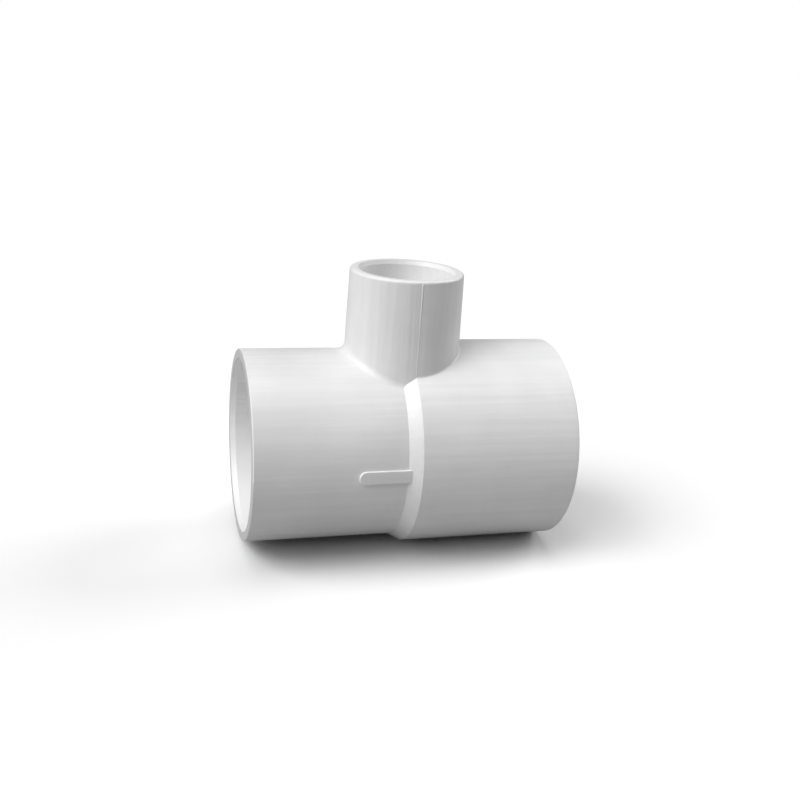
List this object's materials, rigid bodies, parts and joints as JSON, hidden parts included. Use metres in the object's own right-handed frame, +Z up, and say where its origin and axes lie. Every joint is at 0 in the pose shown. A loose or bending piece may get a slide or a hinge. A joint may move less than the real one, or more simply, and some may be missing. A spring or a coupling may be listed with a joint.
{
  "type": "pvc reducing tee",
  "caption": "White PVC reducing tee with plain solvent-weld sockets: a straight run with a bevelled step at its middle, a smaller branch and a blank raised pad.",
  "frame": {"origin": "where the axis of the straight run crosses the axis of the branch, inside the waterway", "axes": "+X along the run towards its thicker half, +Z up the branch, -Y towards the side with the raised pad"},
  "size_m": [0.1146, 0.074, 0.101],
  "materials": {
    "white_pvc": "rigid white PVC, semi-gloss as moulded"
  },
  "bodies": {
    "root": {"centre_body": "white_pvc", "slim_run_hub": "white_pvc", "thick_run_hub": "white_pvc", "branch_hub": "white_pvc", "step_ring": "white_pvc", "raised_pad": "white_pvc"}
  },
  "joints": []
}
